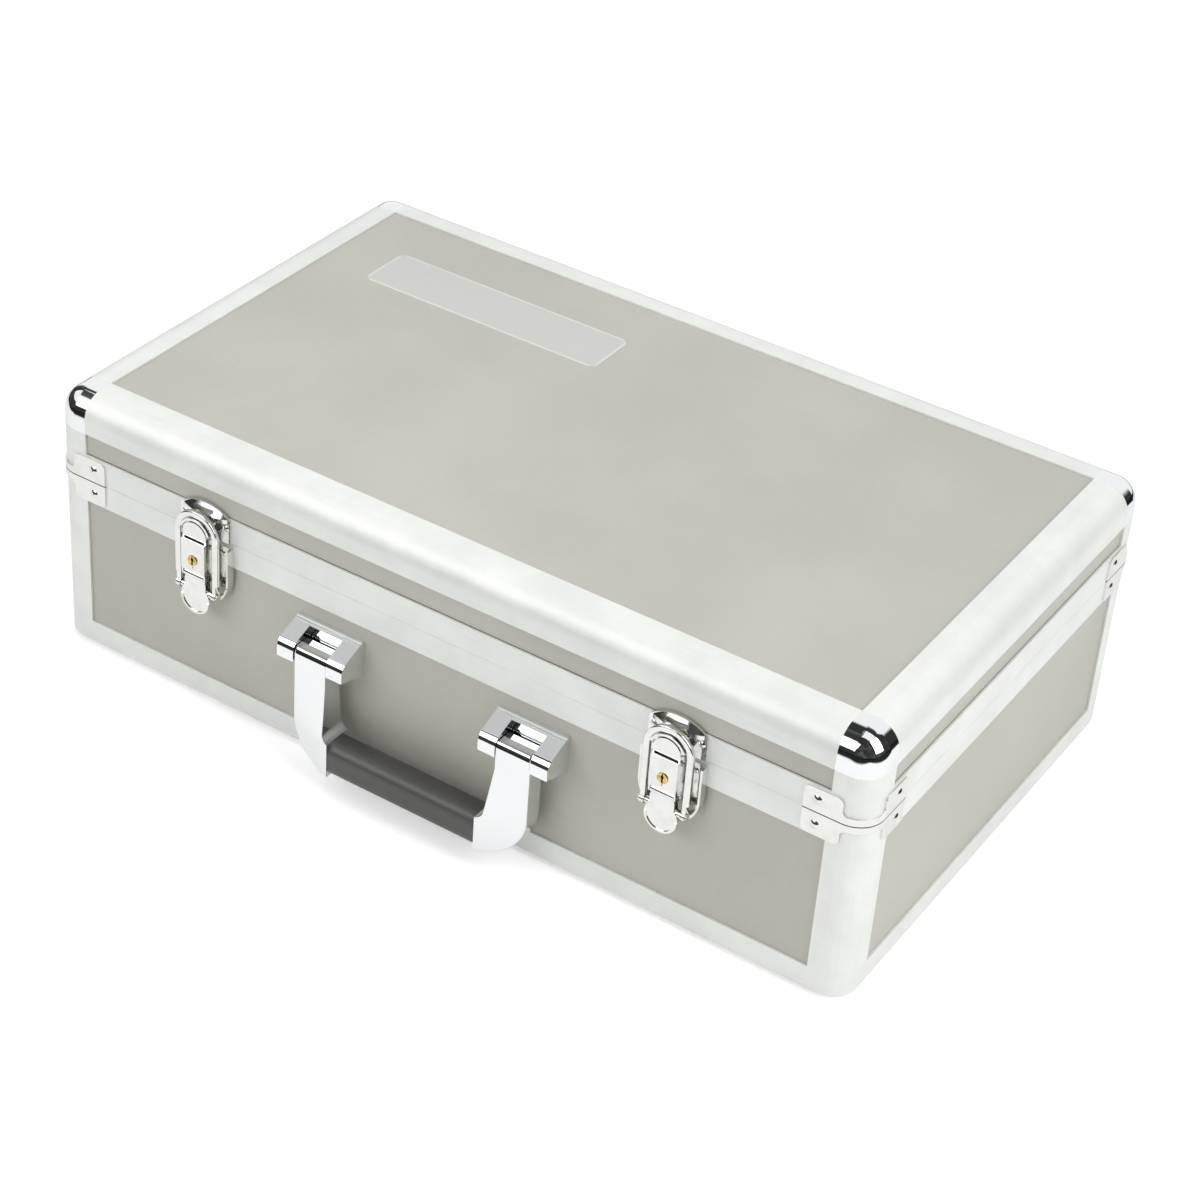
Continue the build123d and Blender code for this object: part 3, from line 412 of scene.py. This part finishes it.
def labelFilm(kit):  # a paler border, and fine streaks along the sticker
    x, y = (kit.axis(name) - middle for name, middle in zip("XY", label["centre"]))
    halfX, halfY = label["size"][0] / 2, label["size"][1] / 2
    inside = (halfX - x.abs()).low(halfY - y.abs())
    border = 1 - (inside - label["border"]).ramp(0.0, label["borderBlur"])
    streak = kit.noise(*label["streak"])
    base = kit.mix(border, label["face"], label["edge"])
    kit.finish(Base_Color=kit.mix(streak * label["streakShare"], base, label["streakTone"]),
               Metallic=label["metal"], Roughness=label["roughness"] + streak * label["streakRough"],
               Normal=kit.bump(streak, *label["bump"]))


# A rounded rectangle as rings: each ring is the outline moved in by its inset, at its share of the thickness
def lidLabel():
    halfX, halfY, radius = label["size"][0] / 2, label["size"][1] / 2, label["radius"]
    count = label["cornerPoints"]
    turn = np.concatenate([np.linspace(0, np.pi / 2, count) + k * np.pi / 2 for k in range(4)])
    x = label["centre"][0] + np.repeat([1, -1, -1, 1], count) * (halfX - radius)
    y = label["centre"][1] + np.repeat([1, 1, -1, -1], count) * (halfY - radius)
    under = caseShell["top"] - label["panelDrop"] + label["lift"]
    steps = [(0.0, 0.0), (0.0, label["sideShare"]), (label["bevel"], 1.0), (label["rim"], 1.0), (radius, 1.0)]
    rings = [np.stack([x + (radius - inset) * np.cos(turn), y + (radius - inset) * np.sin(turn),
                       np.full(turn.size, under + level * label["thick"])], 1) for inset, level in steps]
    rings.append(np.tile((*label["centre"], under + label["thick"]), (turn.size, 1)))
    obj = gridMesh("lidLabel", [np.array(rings)], material("labelFilm", labelFilm))
    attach(obj, "lid")


lidLabel()
print("label")

foam = {
    "step": 0.004, "round": 0.0022, "arcPoints": 5, "crown": 0.0010, "sag": 0.0006,
    "rippleX": 0.071, "rippleY": 0.053, "eggPitch": 0.027, "eggDepth": 0.0095, "eggFade": 6,
    "wallThick": 0.006, "wallGap": 0.0003, "faceRate": 2, "faceFrom": 0.8,
}


# A block with round edges: each point is a point of the inner box plus the radius times the way out there.
# Its sections are rings round the along axis, and the first and last rings close to the middle of each end
def foamBlock(low, high, along=0):
    radius, step, count = foam["round"], foam["step"], foam["arcPoints"]
    middle, half = (low + high) / 2, (high - low) / 2 - radius
    across = [(along + 1) % 3, (along + 2) % 3]
    core, out = [], []
    corners = np.array([(1, -1), (1, 1), (-1, 1), (-1, -1)]) * half[across]
    for k in range(4):
        turn = np.linspace(0, np.pi / 2, count) + (k - 1) * np.pi / 2
        a, b = corners[k], corners[(k + 1) % 4]
        t = np.linspace(0, 1, max(2, int(np.linalg.norm(b - a) / step)))[1:-1, None]
        side = np.array([np.cos(turn[-1]), np.sin(turn[-1])])
        core += [np.tile(a, (count, 1)), a + (b - a) * t]
        out += [np.stack([np.cos(turn), np.sin(turn)], 1), np.tile(side, (len(t), 1))]
    core, out = np.concatenate(core), np.concatenate(out)
    run = np.linspace(-half[along], half[along], max(2, int(2 * half[along] / step)))
    tilt = np.concatenate([[-np.pi / 2], np.linspace(-np.pi / 2, 0, count), np.zeros(len(run) - 2),
                           np.linspace(0, np.pi / 2, count), [np.pi / 2]])
    place = np.concatenate([[run[0]] * (count + 1), run[1:-1], [run[-1]] * (count + 1)])
    spread = np.ones(len(tilt))
    spread[[0, -1]] = 0
    points = np.zeros((len(tilt), len(core), 3))
    points[..., along] = (place + radius * np.sin(tilt))[:, None] + middle[along]
    for k, axis in enumerate(across):
        arc = radius * np.cos(tilt)[:, None] * out[:, k]
        points[..., axis] = core[:, k] * spread[:, None] + arc + middle[axis]
    return points


def cadBoxOf(name):
    spots = np.array([tuple(nodes[name].matrix_world @ v.co) for v in nodes[name].data.vertices])
    return spots.min(0), spots.max(0)


def towardsFace(share):  # from a share of the thickness: 0 over a lining's back, rising to 1 at its open face
    return np.clip(share * foam["faceRate"] - foam["faceFrom"], 0, 1)


# The depth times how far a point is from the face's edges: one minus the fourth power, on both axes
def crowned(points, low, high, face, depth):
    flat = [k for k in range(3) if k != face]
    middle, half = (low + high) / 2, (high - low) / 2
    far = np.abs((points[..., flat] - middle[flat]) / half[flat])
    return depth * np.prod(1 - np.clip(far, 0, 1) ** 4, axis=-1)


# The upper face is raised by the crown, less half the sag times one minus the product of two cosines
def floorFoam():
    low, high = cadBoxOf("floor_foam")
    block = foamBlock(low, high - (0, 0, foam["crown"]))
    upper = towardsFace((block[..., 2] - low[2]) / (high[2] - low[2]))
    wave = np.cos(block[..., 0] / foam["rippleX"]) * np.cos(block[..., 1] / foam["rippleY"])
    ripple = foam["sag"] * 0.5 * (1 - wave)
    block[..., 2] += upper * (crowned(block, low, high, 2, foam["crown"]) - ripple)
    return [block]


# Egg crate: the lower face is lifted by the depth times the mean of two raised cosines, fading at its edges
def lidFoam():
    low, high = cadBoxOf("lid_foam")
    block = foamBlock(low, high)
    turn = 2 * np.pi / foam["eggPitch"]
    hill = (2 - np.cos(block[..., 0] * turn) - np.cos(block[..., 1] * turn)) / 4
    lower = towardsFace((high[2] - block[..., 2]) / (high[2] - low[2]))
    inner = np.clip(crowned(block, low, high, 2, 1.0) * foam["eggFade"], 0, 1)
    block[..., 2] += lower * foam["eggDepth"] * hill * inner
    return [block]


# Four liners round the inside: each open face is moved outwards by the sag, least in its middle
def wallFoam():
    low, high = cadBoxOf("wall_foam")
    thick = foam["wallThick"]
    blocks = []
    for axis, sign in ((0, -1), (0, 1), (1, -1), (1, 1)):
        edge = high[axis] if sign > 0 else low[axis]
        a, b = low.copy(), high.copy()
        if sign > 0:
            a[axis] = edge - thick
        else:
            b[axis] = edge + thick
        if axis == 1:
            a[0], b[0] = low[0] + thick + foam["wallGap"], high[0] - thick - foam["wallGap"]
        block = foamBlock(a, b, along=1 - axis)
        sag = foam["sag"] - crowned(block, a, b, axis, foam["sag"])
        block[..., axis] += towardsFace((block[..., axis] - edge) * -sign / thick) * sign * sag
        blocks.append(block)
    return blocks


for name, blocks, node, body, fill in (("floorLining", floorFoam(), "floor_foam", "case_body", 1.0),
                                       ("wallLining", wallFoam(), "wall_foam", "case_body", 1.0),
                                       ("lidLining", lidFoam(), "lid_foam", "lid", 0.9)):
    piece = gridMesh(name, blocks, finishes["foam"])
    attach(piece, body)
    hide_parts(node)
print("foam linings")

stage = {  # the table is the part of the floor that metal sees lit: its left, right, near and far edges
    "half": 6, "colour": srgb(236, 236, 236), "unlit": (0.02, 0.02, 0.02), "roughness": 0.9,
    "table": (-1.6, 0.62, -0.48, 2.4), "tableBlur": 0.06, "tableGlow": 0.14, "cameraGlow": 0.4,
}
studio = {  # degrees round from +X and up from level; the skylight in parts of the way out from the zenith
    "tentFrom": 58, "tentTo": 152, "tentBlur": 4, "tentTop": 54, "topBlur": 5,
    "window": (176, 236, 22, 49), "windowBlur": 1.5,
    "skylight": (-0.22, 0.6, -0.26, 0.24), "skyFrom": 0.5, "skyBlur": 0.01,
    "dark": 0.035, "darkCloud": 0.07, "cloud": {"Scale": 3.0, "Detail": 2.0}, "cloudRange": (0.45, 0.75),
    "ambient": 0.365,
}
softBoxAim = Vector((0, 0, 0.08))  # about the middle of the case
softBoxes = {  # metres and watts; polished metal shows the ones that are mirrored
    "keyBox": {"place": (1.48, -0.20, 1.15), "size": (1.0, 1.5), "power": 19, "mirrored": True},
    "fillBox": {"place": (-0.652, -1.38, 1.05), "size": (1.5, 1.07), "power": 10.5, "mirrored": True},
    "card": {"place": (-0.22, -0.145, 0.535), "size": (0.36, 0.36), "power": 0.24, "mirrored": True},
    "topBox": {"place": (-0.2, 0.3, 2.3), "size": (1.4, 1.4), "power": 13.2, "mirrored": False},
}


def within(x, y, box):  # above nought inside a box of left, right, near and far edges
    left, right, near, far = box
    return (x - left).low(right - x).low(y - near).low(far - y)


def stageFloor(kit):  # white to the camera; polished metal sees the white table and then the dark room
    glossy = kit.ray("Is Glossy Ray")
    onTable = within(kit.axis("X"), kit.axis("Y"), stage["table"]).edge(stage["tableBlur"])
    glow = kit.ray("Is Camera Ray") * stage["cameraGlow"] + glossy * onTable * stage["tableGlow"]
    kit.finish(Base_Color=kit.mix(1 - glossy * (1 - onTable), stage["unlit"], stage["colour"]),
               Roughness=stage["roughness"], Specular_IOR_Level=0.0,
               Emission_Strength=1.0, Emission_Color=kit.mix(glow, (0.0, 0.0, 0.0), (1.0, 1.0, 1.0)))


def layFloor():
    half = stage["half"]
    corners = [(-half, -half, 0), (half, -half, 0), (half, half, 0), (-half, half, 0)]
    mesh = bpy.data.meshes.new("floor")
    mesh.from_pydata(corners, [], [(0, 1, 2, 3)])
    mesh.materials.append(material("stageFloor", stageFloor))
    floor = linked(bpy.data.objects.new("floor", mesh))
    floor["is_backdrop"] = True


def studioWorld():  # white to the camera; metal sees a tent behind, a window, a skylight and a dark room
    world = bpy.data.worlds.new("studio")
    bpy.context.scene.world = world
    kit = NodeKit(world)
    way = kit.add("ShaderNodeTexCoord", out="Generated")
    x, y, z = (kit.split(way, name) for name in "XYZ")
    degrees, top, blur = 180 / math.pi, studio["tentTop"], studio["topBlur"]
    around = (y.math("ARCTAN2", x) * degrees + 360).math("MODULO", 360)
    behind = (around - studio["tentFrom"]).low(studio["tentTo"] - around).edge(studio["tentBlur"])
    below = 1 - z.ramp(math.sin(math.radians(top - blur)), math.sin(math.radians(top + blur)))
    window = within(around, z.math("ARCSINE") * degrees, studio["window"]).edge(studio["windowBlur"])
    skylight = within(x, y, studio["skylight"]).low(z - studio["skyFrom"]).edge(studio["skyBlur"])
    cloud = kit.add("ShaderNodeTexNoise", None, {"Vector": way, **studio["cloud"]})
    room = studio["dark"] + cloud.ramp(*studio["cloudRange"]) * studio["darkCloud"]
    seen = (behind * below).high(window).high(skylight).high(room)
    camera, glossy = kit.ray("Is Camera Ray"), kit.ray("Is Glossy Ray")
    strength = camera + (1 - camera) * (glossy * seen + (1 - glossy) * studio["ambient"])
    kit.surface("ShaderNodeOutputWorld", "ShaderNodeBackground",
                {"Color": (1.0, 1.0, 1.0), "Strength": strength})


def softBox(name, box):
    lamp = bpy.data.lights.new(name, "AREA")
    lamp.shape, lamp.energy = "RECTANGLE", box["power"]
    lamp.size, lamp.size_y = box["size"]
    obj = linked(bpy.data.objects.new(name, lamp))
    place = Vector(box["place"])
    turn = (place - softBoxAim).to_track_quat("Z", "Y").to_matrix().to_4x4()
    obj.matrix_world = Matrix.Translation(place) @ turn
    obj.visible_camera, obj.visible_glossy = False, box["mirrored"]


view = {  # degrees, metres, and the lens and sensor in millimetres
    "azimuth": 30.92, "elevation": 33.82, "roll": 4.44, "place": (0.6637, -1.0982, 0.9695),
    "lens": 86.47, "sensor": 36, "shiftX": 0.0036, "shiftY": -0.0692, "nearest": 0.05,
}


def camera():
    az, el, roll = (math.radians(view[k]) for k in ("azimuth", "elevation", "roll"))
    ahead = Vector((-math.sin(az) * math.cos(el), math.cos(az) * math.cos(el), -math.sin(el)))
    right = Vector((math.cos(az), math.sin(az), 0))
    upward = right.cross(ahead)
    rolledRight = right * math.cos(roll) + upward * math.sin(roll)
    rolledUp = upward * math.cos(roll) - right * math.sin(roll)
    data = bpy.data.cameras.new("camera")
    data.sensor_width, data.lens, data.clip_start = view["sensor"], view["lens"], view["nearest"]
    data.shift_x, data.shift_y = view["shiftX"], view["shiftY"]
    obj = linked(bpy.data.objects.new("camera", data))
    turn = Matrix((rolledRight, rolledUp, -ahead)).transposed().to_4x4()
    obj.matrix_world = Matrix.Translation(Vector(view["place"])) @ turn
    bpy.context.scene.camera = obj


layFloor()
studioWorld()
for name, box in softBoxes.items():
    softBox(name, box)
camera()
bpy.context.scene.view_settings.view_transform = "Standard"
print("stage, light and camera")

plain = lambda box: [[float(v) for v in corner] for corner in box]
{"cad": plain(cadBox), "visual": plain(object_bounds())}
